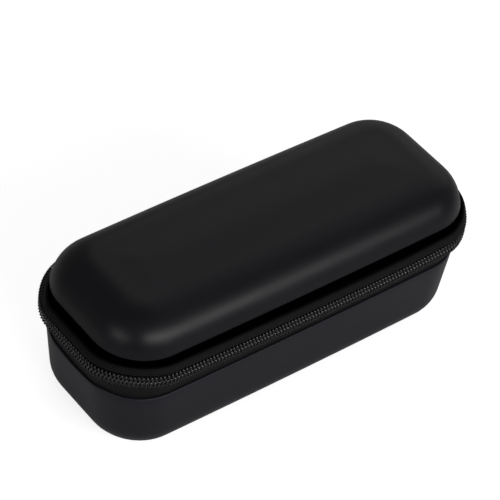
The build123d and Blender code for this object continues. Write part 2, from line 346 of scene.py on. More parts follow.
def closing_rings(edge, rise, steps):
    """Rings from a level edge ring in to a line along its middle, with a soft rise."""
    spine = np.abs(edge[:, 0]).max() - np.abs(edge[:, 1]).max()
    middle = edge * (0, 0, 1)
    middle[:, 0] = np.clip(edge[:, 0], -spine, spine)
    rings = []
    for step in range(1, steps + 1):
        share = step / steps
        lifted = edge + (middle - edge) * share
        lifted[:, 2] += rise * share * share * (3 - 2 * share)
        rings.append(lifted)
    return rings


def lid_rings(shape, inset, lowest, steps=18):
    """Rings of the lid's surface at a depth inside it, from its top down to a height."""
    points, facings = outline(shape)
    radius = mm(shape.lid_round)
    centre = mm(shape.height) - radius
    reach = radius - inset
    start = asin(max(min((lowest - centre) / reach, 1.0), 0.0))
    rings = []
    for step in range(steps + 1):
        angle = pi / 2 + (start - pi / 2) * step / steps
        growth = -inset - reach * (1 - cos(angle))
        rings.append(ring(points, facings, growth, centre + reach * sin(angle)))
    top = closing_rings(rings[0], mm(shape.crown), 8)
    rings = top[::-1] + rings
    if lowest < centre:
        rings.append(ring(points, facings, -inset, lowest))
    return rings


def base_rings(shape, inset, highest, steps=12):
    """Rings of the base's surface at a depth inside it, from a height to its floor."""
    radius = mm(shape.base_round)
    draft_top = mm(shape.parting) + BASE_DRAFT
    rings = []
    points, facings = outline(shape)
    if highest > draft_top:
        rings.append(ring(points, facings, -inset, highest))
    heights = np.linspace(draft_top, radius, 7)[:-1]
    places = [(height, 0.0) for height in heights]
    for step in range(steps + 1):
        angle = pi / 2 * step / steps
        reach = radius - inset
        places.append((radius - reach * sin(angle), reach * (1 - cos(angle))))
    for height, shrink in places:
        lean = (draft_top - height) / (draft_top - inset)
        points, facings = outline(
            shape, mm(shape.end_draft) * lean, mm(shape.side_draft) * lean
        )
        rings.append(ring(points, facings, -inset - shrink, height))
    return rings + closing_rings(rings[-1], 0.0, 6)


# Meshes


def mesh_piece(name, points, faces, uv=None, smooth=40):
    """An object from points in millimetres and faces, closed and turned outwards."""
    mesh = bpy.data.meshes.new(name)
    mesh.from_pydata(np.asarray(points) * 0.001, [], faces)
    if uv is not None:
        layer = mesh.uv_layers.new(name="cloth")
        layer.data.foreach_set("uv", (np.asarray(uv) * 0.001).ravel())
    shape = bmesh.new()
    shape.from_mesh(mesh)
    bmesh.ops.remove_doubles(shape, verts=shape.verts, dist=1e-7)
    bmesh.ops.dissolve_degenerate(shape, dist=1e-8, edges=shape.edges)
    bmesh.ops.recalc_face_normals(shape, faces=shape.faces)
    shape.to_mesh(mesh)
    shape.free()
    mesh.shade_smooth()
    mesh.set_sharp_from_angle(angle=radians(smooth))
    piece = bpy.data.objects.new(name, mesh)
    bpy.context.scene.collection.objects.link(piece)
    return piece


def steps_along(points, closed):
    """Distance of each point from the first, and of the first again if closed."""
    route = np.vstack([points, points[:1]]) if closed else points
    return np.concatenate([[0], np.cumsum(np.linalg.norm(np.diff(route, axis=0), axis=1))])


def woven_grid(name, grid, round_rows=False, round_columns=False, caps=False, smooth=40):
    """A piece from a grid of points. Its cloth map runs along the rows and across the
    columns, in the piece's own size."""
    rows, columns = grid.shape[:2]
    along = steps_along(grid[:, 0], round_rows)
    across = steps_along(grid[0], round_columns)
    faces = []
    uv = []
    for row in range(rows if round_rows else rows - 1):
        below = (row + 1) % rows
        for column in range(columns if round_columns else columns - 1):
            beside = (column + 1) % columns
            faces.append(
                (row * columns + column, below * columns + column,
                 below * columns + beside, row * columns + beside)
            )
            uv += [
                (along[row], across[column]),
                (along[row + 1], across[column]),
                (along[row + 1], across[column + 1]),
                (along[row], across[column + 1]),
            ]
    if caps:
        for row in (0, rows - 1):
            faces.append(tuple(row * columns + column for column in range(columns)))
            uv += [(along[row], across[column]) for column in range(columns)]
    return mesh_piece(name, grid.reshape(-1, 3), faces, uv, smooth)


def soft_line(corners, rounding, spacing=0.45):
    """A line through corners, each rounded to a curve and divided evenly enough."""
    corners = [np.array(corner, float) for corner in corners]
    line = [corners[0]]
    for before, corner, after in zip(corners, corners[1:], corners[2:]):
        start, end = (
            corner + (other - corner) * min(rounding / np.linalg.norm(other - corner), 0.5)
            for other in (before, after)
        )
        for share in np.linspace(0, 1, 6):
            line.append(
                start * (1 - share) ** 2 + corner * 2 * share * (1 - share) + end * share**2
            )
    line.append(corners[-1])
    divided = []
    for here, there in zip(line, line[1:]):
        count = max(1, round(np.linalg.norm(there - here) / spacing))
        divided += [here + (there - here) * step / count for step in range(count)]
    divided.append(line[-1])
    return np.array(divided)


def band(line, thickness):
    """Closed section of cloth of a thickness about a line, with rounded edges."""
    along = np.gradient(line, axis=0)
    along /= np.linalg.norm(along, axis=1)[:, None]
    side = np.column_stack([-along[:, 1], along[:, 0]]) * thickness / 2
    tip = along[-1] * thickness * 0.3
    tail = along[0] * thickness * 0.3
    return np.vstack(
        [line + side, [line[-1] + tip], (line - side)[::-1], [line[0] - tail]]
    )


def corner_ease(facings):
    """Share that the zipper keeps of its reach, which it cuts short at the corners."""
    return 1 - CORNER_CUT * (2 * facings[:, 0] * facings[:, 1]) ** 2


def zipper_lie(points, facings):
    """How far the zipper lies above its plane, as it is never quite straight in front."""
    places, heights = zip(*ZIPPER_LIE)
    in_front = np.clip(-facings[:, 1], 0, 1)
    return np.interp(points[:, 0], places, heights) * in_front**2 * (3 - 2 * in_front)


def end_dip(points, facings):
    """Share of the dip that the base's rim has in the middle of each end."""
    return np.clip(1 - (points[:, 1] / DIP_HALF) ** 2, 0, 1) * np.abs(facings[:, 0]) ** 4


def fullness(facings):
    """Share of the zipper tape's bulge, which is gone at the back."""
    share = np.clip((0.7 - facings[:, 1]) / 0.6, 0, 1)
    return share**2 * (3 - 2 * share)


def evened(line, count=56):
    """A line divided again into equal steps."""
    length = steps_along(line, False)
    places = np.linspace(0, length[-1], count)
    return np.column_stack([np.interp(places, length, line[:, axis]) for axis in (0, 1)])


def edge_grid(stations, section, parting, other=None, share=0.0):
    """Grid of a section of (outward, up) points carried along stations, with a share of
    another section at each."""
    points, facings = stations
    sections = np.broadcast_to(section, (len(points),) + section.shape)
    if other is not None:
        sections = sections + (other - section) * share[:, None, None]
    reach = np.where(sections[:, :, 0] > 0, corner_ease(facings)[:, None], 1.0)
    outward = sections[:, :, 0] * reach
    lie = zipper_lie(points, facings)[:, None] * np.clip(sections[:, :, 0] / 2, 0, 1)
    up = sections[:, :, 1] + parting + lie
    flat = points[:, None, :] + facings[:, None, :] * outward[:, :, None]
    return np.concatenate([flat, up[:, :, None]], axis=2)


def tube(name, path, radius, sides=6, closed=False, flat=1.0, smooth=60):
    """A tube round a path of points in millimetres."""
    path = np.array(path, float)
    along = np.gradient(path, axis=0)
    if closed:
        along = np.roll(path, -1, axis=0) - np.roll(path, 1, axis=0)
    along /= np.linalg.norm(along, axis=1)[:, None]
    first = np.cross(along, (1.0, 0.13, 0.21))
    first /= np.linalg.norm(first, axis=1)[:, None]
    second = np.cross(along, first)
    angles = np.linspace(0, 2 * pi, sides, endpoint=False)
    radii = np.broadcast_to(radius, len(path))
    grid = path[:, None, :] + radii[:, None, None] * (
        np.cos(angles)[None, :, None] * first[:, None, :]
        + np.sin(angles)[None, :, None] * second[:, None, :] * flat
    )
    return woven_grid(name, grid, closed, True, not closed, smooth)


def dressed(piece, body, slot, material, *nodes):
    """Gives a finished piece its material and body, and hides the nodes it stands for. Its slot
    is not used.
    """
    if material is not None:
        piece.data.materials.clear()
        piece.data.materials.append(material)
    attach(piece, body)
    if nodes:
        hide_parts(*nodes)
    return piece


# Geometry node trees


def fill(tree, node, inputs):
    """Sets a node's inputs, by name or in order, or links them to sockets or to the first
    output of nodes."""
    pairs = inputs.items() if isinstance(inputs, dict) else enumerate(inputs)
    for socket, value in pairs:
        if isinstance(value, bpy.types.Node):
            value = value.outputs[0]
        if isinstance(value, bpy.types.NodeSocket):
            tree.links.new(value, node.inputs[socket])
        else:
            node.inputs[socket].default_value = value


def put(tree, kind, inputs=(), **settings):
    """Adds a node with its settings, and fills or links its inputs."""
    made = tree.nodes.new(kind)
    for key, value in settings.items():
        setattr(made, key, value)
    fill(tree, made, inputs)
    return made


def new_group(name, inputs):
    """An empty geometry node tree with named inputs and one geometry output."""
    tree = bpy.data.node_groups.new(name, "GeometryNodeTree")
    geometry = ("Geometry", "NodeSocketGeometry")
    for title, kind in (geometry, *inputs):
        tree.interface.new_socket(title, in_out="INPUT", socket_type=kind)
    tree.interface.new_socket(geometry[0], in_out="OUTPUT", socket_type=geometry[1])
    return tree, tree.nodes.new("NodeGroupInput").outputs


def end_group(tree, geometry, material):
    """Makes the instances real, sets their material and ends the tree."""
    real = put(tree, "GeometryNodeRealizeInstances", {"Geometry": geometry})
    painted = put(tree, "GeometryNodeSetMaterial", {"Geometry": real, "Material": material})
    put(tree, "NodeGroupOutput", {"Geometry": painted})


def row_group():
    """Tree that repeats one shape along a line, standing up and facing along it."""
    tree, given = new_group(
        "repeat along a line",
        (("Shape", "NodeSocketObject"), ("Pitch", "NodeSocketFloat"),
         ("Phase", "NodeSocketFloat"), ("Material", "NodeSocketMaterial")),
    )
    line = put(tree, "GeometryNodeMeshToCurve", {"Mesh": given["Geometry"]})
    length = put(tree, "GeometryNodeCurveLength", {"Curve": line})
    lead = put(tree, "ShaderNodeMath", (given["Pitch"], given["Phase"]), operation="MULTIPLY")
    slack = put(tree, "ShaderNodeMath", (given["Pitch"], 0.5), operation="MULTIPLY")
    rest = put(tree, "ShaderNodeMath", (length, slack), operation="SUBTRACT")
    finish = put(tree, "ShaderNodeMath", (rest, lead), operation="ADD")
    cut = put(tree, "GeometryNodeTrimCurve", {"Curve": line}, mode="LENGTH")
    for socket, source in (("Start", lead), ("End", finish)):
        target = next(s for s in cut.inputs if s.name == socket and s.enabled)
        tree.links.new(source.outputs[0], target)
    spaced = put(
        tree, "GeometryNodeResampleCurve", {"Curve": cut, "Length": given["Pitch"]},
        mode="LENGTH",
    )
    heading = put(tree, "GeometryNodeInputTangent")
    facing = put(
        tree, "FunctionNodeAxesToRotation",
        {"Primary Axis": heading, "Secondary Axis": (0.0, 0.0, 1.0)},
        primary_axis="X", secondary_axis="Z",
    )
    shape = put(tree, "GeometryNodeObjectInfo", {"Object": given["Shape"]})
    copies = put(
        tree, "GeometryNodeInstanceOnPoints",
        {"Points": spaced, "Instance": shape.outputs["Geometry"], "Rotation": facing},
    )
    end_group(tree, copies, given["Material"])
    return tree


def net_group():
    """Tree that turns the edges of a flat pattern to yarn."""
    tree, given = new_group(
        "yarn on edges", (("Yarn", "NodeSocketFloat"), ("Material", "NodeSocketMaterial"))
    )
    lines = put(tree, "GeometryNodeMeshToCurve", {"Mesh": given["Geometry"]})
    radius = put(tree, "ShaderNodeMath", (given["Yarn"], 0.5), operation="MULTIPLY")
    section = put(
        tree, "GeometryNodeCurvePrimitiveCircle", {"Resolution": 5, "Radius": radius}
    )
    yarn = put(
        tree, "GeometryNodeCurveToMesh",
        {"Curve": lines, "Profile Curve": section, "Fill Caps": True},
    )
    end_group(tree, yarn, given["Material"])
    return tree


def grown(name, source, tree, values):
    """A plain mesh piece from a source mesh and a tree with its inputs set."""
    holder = bpy.data.objects.new(name + "_source", source)
    bpy.context.scene.collection.objects.link(holder)
    modifier = holder.modifiers.new("grow", "NODES")
    modifier.node_group = tree
    sockets = {
        item.name: item.identifier
        for item in tree.interface.items_tree
        if item.item_type == "SOCKET" and item.in_out == "INPUT"
    }
    for title, value in values.items():
        modifier[sockets[title]] = value
    bpy.context.view_layer.update()
    seen = holder.evaluated_get(bpy.context.evaluated_depsgraph_get())
    mesh = bpy.data.meshes.new_from_object(seen)
    mesh.name = name
    mesh.shade_smooth()
    mesh.set_sharp_from_angle(angle=radians(60))
    bpy.data.objects.remove(holder)
    piece = bpy.data.objects.new(name, mesh)
    bpy.context.scene.collection.objects.link(piece)
    return piece


def line_mesh(points):
    """Mesh of one open line of edges through points in millimetres."""
    mesh = bpy.data.meshes.new("line")
    edges = [(place, place + 1) for place in range(len(points) - 1)]
    mesh.from_pydata(np.asarray(points) * 0.001, edges, [])
    return mesh


def repeated(name, shape_piece, points, pitch, phase, material):
    """Copies of a shape along a line of points, made one mesh."""
    piece = grown(
        name, line_mesh(points), tree_named("repeat along a line", row_group),
        {"Shape": shape_piece, "Pitch": pitch, "Phase": phase, "Material": material},
    )
    bpy.data.objects.remove(shape_piece)
    return piece


def tree_named(name, maker):
    """A node tree by name, made the first time it is asked for."""
    return bpy.data.node_groups.get(name) or maker()


# Materials. Map Range takes a value, its range and the new range; Mix blends inputs 6
# and 7, and gives a colour at output 2

COLOUR_MIX = {"data_type": "RGBA", "clamp_factor": True}


def new_surface(name):
    """A material with its tree and its shader."""
    material = bpy.data.materials.new(name)
    material.use_nodes = True
    return material, material.node_tree, material.node_tree.nodes["Principled BSDF"]


def shade(colour, factor):
    """A colour made darker or lighter."""
    return (*(min(channel * factor, 1.0) for channel in colour), 1)


def coated_cloth(name, colour, highlight_height):
    """Polyurethane-coated cloth, pressed over foam in a heated mould: a dull, even skin
    with a fine leather grain, a little smoother in patches, and a painted highlight that makes
    its turned rim paler."""
    material, tree, shader = new_surface(name)
    place = put(tree, "ShaderNodeTexCoord").outputs["Object"]
    # Grain cells of about 0.45 mm
    grain = put(
        tree, "ShaderNodeTexVoronoi", {"Vector": place, "Scale": 1 / 0.00045},
        feature="SMOOTH_F1",
    )
    pores = put(
        tree, "ShaderNodeTexNoise", {"Vector": place, "Scale": 1 / 0.00018, "Detail": 1.0}
    )
    patches = put(
        tree, "ShaderNodeTexNoise", {"Vector": place, "Scale": 1 / 0.03, "Detail": 3.0}
    ).outputs["Fac"]
    height = put(
        tree, "ShaderNodeMath", (grain.outputs["Distance"], 0.35, pores.outputs["Fac"]),
        operation="MULTIPLY_ADD",
    )
    level = put(tree, "ShaderNodeSeparateXYZ", (place,)).outputs["Z"]
    away = put(tree, "ShaderNodeMath", (level, highlight_height), operation="SUBTRACT")
    distance = put(tree, "ShaderNodeMath", (away,), operation="ABSOLUTE")
    # Band at the turned rim, painted paler: a painted highlight
    rim = put(tree, "ShaderNodeMapRange", (distance, 0.0, 0.0009, 1.0, 0.0))
    patchy = put(tree, "ShaderNodeMapRange", (patches, 0.3, 0.7, 0.0, 1.0))
    skin = put(
        tree, "ShaderNodeMix", {0: patchy, 6: shade(colour, 0.93), 7: shade(colour, 1.07)},
        **COLOUR_MIX,
    ).outputs[2]
    highlighted_skin = put(
        tree, "ShaderNodeMix", {0: rim, 6: skin, 7: shade(colour, 1.6)}, **COLOUR_MIX
    ).outputs[2]
    fill(tree, shader, {
        "Base Color": highlighted_skin,
        "Roughness": put(tree, "ShaderNodeMapRange", (patches, 0.3, 0.7, 0.34, 0.4)),
        "Specular IOR Level": 0.3,
        "Normal": put(
            tree, "ShaderNodeBump", {"Height": height, "Distance": 0.00002, "Strength": 0.5}
        ),
    })
    return material


def woven_tape(name, colour, rib, painted_shade_root=None):
    """Woven polyester tape: ribs of yarn that turn from column to column, dull, with a
    little light on each rib. The ribs are drawn about three times as coarse as the
    real 0.4 mm so that they show. A root is painted nearly black as painted shade, also
    where it can be seen, to deepen the groove under the cover's rim with a painted shadow."""
    material, tree, shader = new_surface(name)
    place = put(tree, "ShaderNodeUVMap", uv_map="cloth")
    parts = put(tree, "ShaderNodeSeparateXYZ", (place,)).outputs
    turned = put(tree, "ShaderNodeMath", (parts["Y"], HERRINGBONE), operation="PINGPONG")
    slanted = put(tree, "ShaderNodeMath", (parts["X"], turned), operation="ADD")
    ribs = put(tree, "ShaderNodeMath", (slanted, 2 * pi / rib), operation="MULTIPLY")
    wave = put(tree, "ShaderNodeMath", (ribs,), operation="SINE")
    cross = put(
        tree, "ShaderNodeMath", (parts["Y"], 2 * pi / (rib * 0.8)), operation="MULTIPLY"
    )
    picks = put(tree, "ShaderNodeMath", (cross,), operation="SINE")
    height = put(tree, "ShaderNodeMath", (picks, 0.5, wave), operation="MULTIPLY_ADD")
    lit = put(tree, "ShaderNodeMapRange", (height, -0.6, 1.5, 0.0, 1.0))
    gloss = 0.2
    # The root is painted nearly black and loses its gloss: painted shade in the groove under
    # the cover's rim
    if painted_shade_root is not None:
        past_shade = put(
            tree, "ShaderNodeMapRange", (parts["Y"], painted_shade_root, painted_shade_root + TAPE_SHADE_FADE, 0.0, 1.0)
        )
        lit = put(tree, "ShaderNodeMath", (lit, past_shade), operation="MULTIPLY")
        gloss = put(tree, "ShaderNodeMapRange", (past_shade, 0.0, 1.0, 0.0, gloss))
    colours = put(
        tree, "ShaderNodeMix", {0: lit, 6: shade(colour, 0.05), 7: shade(colour, 1.7)},
        **COLOUR_MIX,
    ).outputs[2]
    fill(tree, shader, {
        "Base Color": colours,
        "Roughness": 0.7,
        "Specular IOR Level": gloss,
        "Normal": put(
            tree, "ShaderNodeBump", {"Height": height, "Distance": 0.00006, "Strength": 1.0}
        ),
    })
    return material


def drawn_nylon(name, colour):
    """Nylon filament, drawn and wound hot: satin, with a soft highlight on each turn."""
    material, tree, shader = new_surface(name)
    place = put(tree, "ShaderNodeTexCoord").outputs["Object"]
    streaks = put(
        tree, "ShaderNodeTexNoise", {"Vector": place, "Scale": 1 / 0.0012, "Detail": 2.0}
    ).outputs["Fac"]
    colours = put(
        tree, "ShaderNodeMix", {0: streaks, 6: shade(colour, 0.8), 7: shade(colour, 1.2)},
        **COLOUR_MIX,
    ).outputs[2]
    # The specular level is above plain nylon's, matched to the dots of light
    fill(tree, shader, {
        "Base Color": colours,
        "Roughness": put(tree, "ShaderNodeMapRange", (streaks, 0.3, 0.7, 0.16, 0.24)),
        "IOR": 1.53,
        "Specular IOR Level": 0.9,
    })
    return material


def knit_lining(name, colour):
    """Brushed knit, laminated to the foam: soft, with a nap that catches light edge on."""
    material, tree, shader = new_surface(name)
    place = put(tree, "ShaderNodeTexCoord").outputs["Object"]
    # Loops of about 0.7 mm under a nap of 0.25 mm
    loops = put(tree, "ShaderNodeTexVoronoi", {"Vector": place, "Scale": 1 / 0.0007})
    nap = put(
        tree, "ShaderNodeTexNoise", {"Vector": place, "Scale": 1 / 0.00025, "Detail": 3.0}
    )
    height = put(
        tree, "ShaderNodeMath", (loops.outputs["Distance"], 0.8, nap.outputs["Fac"]),
        operation="MULTIPLY_ADD",
    )
    lit = put(tree, "ShaderNodeMapRange", (height, 0.4, 1.2, 0.0, 1.0))
    colours = put(
        tree, "ShaderNodeMix", {0: lit, 6: shade(colour, 0.7), 7: shade(colour, 1.35)},
        **COLOUR_MIX,
    ).outputs[2]
    fill(tree, shader, {
        "Base Color": colours,
        "Roughness": 0.9,
        "Sheen Weight": 0.25,
        "Sheen Roughness": 0.5,
        "Normal": put(
            tree, "ShaderNodeBump", {"Height": height, "Distance": 0.0001, "Strength": 0.7}
        ),
    })
    return material


def cell_foam(name, colour):
    """Closed-cell foam, cut at the lips: dull and faintly porous."""
    material, tree, shader = new_surface(name)
    place = put(tree, "ShaderNodeTexCoord").outputs["Object"]
    # Cells of about 0.4 mm
    cells = put(
        tree, "ShaderNodeTexVoronoi", {"Vector": place, "Scale": 1 / 0.0004}
    ).outputs["Distance"]
    lit = put(tree, "ShaderNodeMapRange", (cells, 0.0, 0.6, 0.0, 1.0))
    colours = put(
        tree, "ShaderNodeMix", {0: lit, 6: shade(colour, 0.7), 7: shade(colour, 1.15)},
        **COLOUR_MIX,
    ).outputs[2]
    fill(tree, shader, {
        "Base Color": colours,
        "Roughness": 0.85,
        "Normal": put(
            tree, "ShaderNodeBump", {"Height": cells, "Distance": 0.00008, "Strength": 0.6}
        ),
    })
    return material


def spun_thread(name, colour, twist):
    """Twisted polyester thread or yarn: plies show as slanted shine along it."""
    material, tree, shader = new_surface(name)
    place = put(tree, "ShaderNodeTexCoord").outputs["Object"]
    plies = put(
        tree, "ShaderNodeTexWave",
        {"Vector": place, "Scale": 0.1 / twist, "Distortion": 1.0, "Detail": 1.0},
        bands_direction="DIAGONAL",
    ).outputs["Fac"]
    colours = put(
        tree, "ShaderNodeMix", {0: plies, 6: shade(colour, 0.6), 7: shade(colour, 1.5)},
        **COLOUR_MIX,
    ).outputs[2]
    fill(tree, shader, {
        "Base Color": colours,
        "Roughness": 0.55,
        "Normal": put(
            tree, "ShaderNodeBump", {"Height": plies, "Distance": 0.00004, "Strength": 1.0}
        ),
    })
    return material


def woven_elastic(name, colour, rib):
    """Woven elastic: rubber cords side by side under a tight crossed weave."""
    material, tree, shader = new_surface(name)
    place = put(tree, "ShaderNodeUVMap", uv_map="cloth")
    parts = put(tree, "ShaderNodeSeparateXYZ", (place,)).outputs
    cords = put(tree, "ShaderNodeMath", (parts["Y"], 2 * pi / rib), operation="MULTIPLY")
    cord_wave = put(tree, "ShaderNodeMath", (cords,), operation="SINE")
    picks = put(
        tree, "ShaderNodeMath", (parts["X"], 2 * pi / (rib * 0.5)), operation="MULTIPLY"
    )
    pick_wave = put(tree, "ShaderNodeMath", (picks,), operation="SINE")
    height = put(
        tree, "ShaderNodeMath", (pick_wave, 0.45, cord_wave), operation="MULTIPLY_ADD"
    )
    lit = put(tree, "ShaderNodeMapRange", (height, -1.2, 1.2, 0.0, 1.0))
    colours = put(
        tree, "ShaderNodeMix", {0: lit, 6: shade(colour, 0.55), 7: shade(colour, 1.5)},
        **COLOUR_MIX,
    ).outputs[2]
    fill(tree, shader, {
        "Base Color": colours,
        "Roughness": 0.65,
        "Normal": put(
            tree, "ShaderNodeBump", {"Height": height, "Distance": 0.0001, "Strength": 1.0}
        ),
    })
    return material


def coated_zinc(name, colour):
    """Die-cast zinc under a black electrophoretic coat: smooth, fairly glossy, with a
    faint cast ripple."""
    material, tree, shader = new_surface(name)
    place = put(tree, "ShaderNodeTexCoord").outputs["Object"]
    ripple = put(
        tree, "ShaderNodeTexNoise", {"Vector": place, "Scale": 1 / 0.002, "Detail": 2.0}
    ).outputs["Fac"]
    colours = put(
        tree, "ShaderNodeMix", {0: ripple, 6: shade(colour, 0.85), 7: shade(colour, 1.15)},
        **COLOUR_MIX,
    ).outputs[2]
    fill(tree, shader, {
        "Base Color": colours,
        "Roughness": put(tree, "ShaderNodeMapRange", (ripple, 0.3, 0.7, 0.24, 0.36)),
        "Normal": put(
            tree, "ShaderNodeBump", {"Height": ripple, "Distance": 0.00003, "Strength": 0.5}
        ),
    })
    return material


def finish_named(name):
    """A finish of the case by name, made the first time it is asked for."""
    known = bpy.data.materials.get(name)
    if known:
        return known
    colours = bpy.context.scene.case_colours
    weave = bpy.context.scene.zipper_shape.weave
    makers = {
        "coated cloth of the lid": (coated_cloth, colours.lid, LID_PAINTED_HIGHLIGHT),
        "coated cloth of the base": (coated_cloth, colours.base, BASE_PAINTED_HIGHLIGHT),
        "woven polyester tape": (woven_tape, colours.tape, weave),
        "woven zipper tape": (woven_tape, colours.tape, weave, TAPE_PAINTED_SHADE),
        "drawn nylon": (drawn_nylon, colours.coil),
        "brushed knit": (knit_lining, colours.lining),
        "closed-cell foam": (cell_foam, colours.foam),
        "sewing thread": (spun_thread, colours.thread, 0.0005),
        "net yarn": (spun_thread, colours.lining, 0.0008),
        "woven elastic": (woven_elastic, colours.elastic, 0.0012),
        "coated zinc": (coated_zinc, colours.metal),
    }
    maker, *sizes = makers[name]
    return maker(name, *sizes)


# Operators, one for each piece or group of like pieces


class CASE_OT_covers(bpy.types.Operator):
    """Covers of coated cloth on the lid and the base"""

    bl_idname = "case.covers"
    bl_label = "Covers"

    def execute(self, context):
        shape = context.scene.case_shape
        parting = mm(shape.parting)
        points, facings = outline(shape)
        rim = parting + LID_RIM
        outer = lid_rings(shape, 0.0, rim + 1.2)
        inner = lid_rings(shape, COVER - 0.05, rim + 0.8, 10)
        roll = [ring(points, facings, growth, rim + up) for growth, up in LID_TURNED]
        grid = np.array(outer + roll + inner[::-1])
        lid = woven_grid("lid_cover_cloth", grid, round_columns=True)
        cloth = finish_named("coated cloth of the lid")
        dressed(lid, "lid", "coated_cloth_lid", cloth, "lid_cover")

        rim = parting + BASE_RIM
        outer = base_rings(shape, 0.0, rim - 0.7)
        inner = base_rings(shape, COVER - 0.05, rim - 0.5)
        roll = [ring(points, facings, growth, rim + up) for growth, up in BASE_TURNED]
        dip = BASE_RIM_DIP * end_dip(points, facings)
        for edge in (*roll, outer[0], inner[0]):
            edge[:, 2] -= dip
        grid = np.array(inner[::-1] + roll + outer)
        base = woven_grid("base_cover_cloth", grid, round_columns=True)
        cloth = finish_named("coated cloth of the base")
        dressed(base, "base", "coated_cloth_base", cloth, "base_cover")
        return {"FINISHED"}


class CASE_OT_linings(bpy.types.Operator):
    """Knit linings of both shells, and the foam between cover and lining"""

    bl_idname = "case.linings"
    bl_label = "Linings and foam"

    def execute(self, context):
        shape = context.scene.case_shape
        parting = mm(shape.parting)
        knit = finish_named("brushed knit")
        back = LINING_FACE + 0.05
        rim = parting + LIP_GAP
        outer = lid_rings(shape, back, rim, 12)
        inner = lid_rings(shape, WALL, rim, 12)
        grid = np.array(outer + inner[::-1])
        lid = woven_grid("lid_lining_cloth", grid, round_columns=True)
        dressed(lid, "lid", "knit_lining", knit, "lid_lining")
        rim = parting - LIP_GAP
        outer = base_rings(shape, back, rim)
        inner = base_rings(shape, WALL, rim)
        grid = np.array(inner[::-1] + outer)
        base = woven_grid("base_lining_cloth", grid, round_columns=True)
        dressed(base, "base", "knit_lining", knit, "base_lining")
        foam = finish_named("closed-cell foam")
        for name in ("lid_foam", "base_foam"):
            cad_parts[name].data.materials.clear()
            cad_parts[name].data.materials.append(foam)
        return {"FINISHED"}


class CASE_OT_tapes(bpy.types.Operator):
    """Woven tapes of the zipper"""

    bl_idname = "case.tapes"
    bl_label = "Zipper tapes"

    def execute(self, context):
        shape = context.scene.case_shape
        parting = mm(shape.parting)
        flat = TAPE_FACE - TAPE_THICKNESS / 2
        stations = zip_line(shape, -HINGE_HALF)
        dipped = BASE_SEWN_LEG[1] - BASE_RIM_DIP
        lines = (
            (
                "upper_zip_tape", "lid", fullness(stations[1]),
                [(LID_SEWN_LINE, LID_SEWN_LEG[0]), (LID_SEWN_LINE, LID_SEWN_LEG[1]),
                 (flat, LID_TAPE_FLAT), (flat, TAPE_EDGE)],
                [(LID_SEWN_LINE, LID_SEWN_LEG[0]), (LID_SEWN_LINE, FULL_TAPE_ROOT),
                 *FULL_TAPE_BULGE, (flat, FULL_TAPE_FLAT), (flat, TAPE_EDGE)],
            ),
            (
                "lower_zip_tape", "base", end_dip(*stations),
                [(BASE_SEWN_LINE, BASE_SEWN_LEG[0]), (BASE_SEWN_LINE, BASE_SEWN_LEG[1]),
                 (flat, BASE_TAPE_FLAT), (flat, -TAPE_EDGE)],
                [(BASE_SEWN_LINE, BASE_SEWN_LEG[0]), (BASE_SEWN_LINE, dipped),
                 (flat, BASE_TAPE_FLAT), (flat, -TAPE_EDGE)],
            ),
        )
        for node, body, share, *runs in lines:
            section, other = (
                band(evened(soft_line(corners, SEAM_ROUND)), TAPE_THICKNESS)
                for corners in runs
            )
            grid = edge_grid(stations, section, parting, other, share)
            piece = woven_grid(node + "_cloth", grid, round_columns=True, caps=True)
            dressed(piece, body, "woven_tape", finish_named("woven zipper tape"), node)
        return {"FINISHED"}


def coil_turn(pitch, radius, side):
    """One turn of a coil half, from its tape side round its head and back."""
    inner = COIL_DEPTH / 2 - radius
    top = COIL_EDGE - radius
    tip = -COIL_TIP + radius
    corners = [
        (-0.5, inner, top - 0.5),
        (-0.42, inner * 0.7, top),
        (-0.24, -inner * 0.7, top),
        (-0.16, -inner, top - 0.45),
        (-0.04, -inner, (top + tip) / 2),
        (0.06, -inner, tip + 0.4),
        (0.1, -inner * 0.6, tip),
        (0.14, inner * 0.6, tip),
        (0.2, inner, tip + 0.4),
        (0.36, inner, (top + tip) / 2),
        (0.5, inner, top - 0.5),
    ]
    path = [(along * pitch, across, up * side) for along, across, up in corners]
    swell = [1.0, 1.0, 1.0, 1.0, 1.0, 1.1, 1.18, 1.18, 1.1, 1.0, 1.0]
    return tube("turn", path, np.array(swell) * radius, sides=6)


def chain_line(shape, side, outward):
    """Line of one coil half, with the fork at the slider, at a distance outward."""
    points, facings = zip_line(shape, -CHAIN_END - 0.4, CHAIN_END + 0.4)
    dense_points, dense_facings = [], []
    for place in range(len(points) - 1):
        gap = np.linalg.norm(points[place + 1] - points[place])
        count = max(1, round(gap / 1.5))
        for step in range(count):
            share = step / count
            dense_points.append(points[place] * (1 - share) + points[place + 1] * share)
            dense_facings.append(facings[place] * (1 - share) + facings[place + 1] * share)
    dense_points.append(points[-1])
    dense_facings.append(facings[-1])
    dense_facings = np.array(dense_facings)
    reach = outward * corner_ease(dense_facings)
    flat = np.array(dense_points) + dense_facings * reach[:, None]
    at_fork = (flat[:, 0] > 0) & (flat[:, 1] > 0)
    share = np.clip((MESH_START - flat[:, 0]) / (MESH_START - FORK_BEND), 0, 1)
    height = mm(shape.parting) + side * FORK_SPREAD * np.where(at_fork, share, 0.0)
    return np.column_stack([flat, height + zipper_lie(flat, dense_facings)])


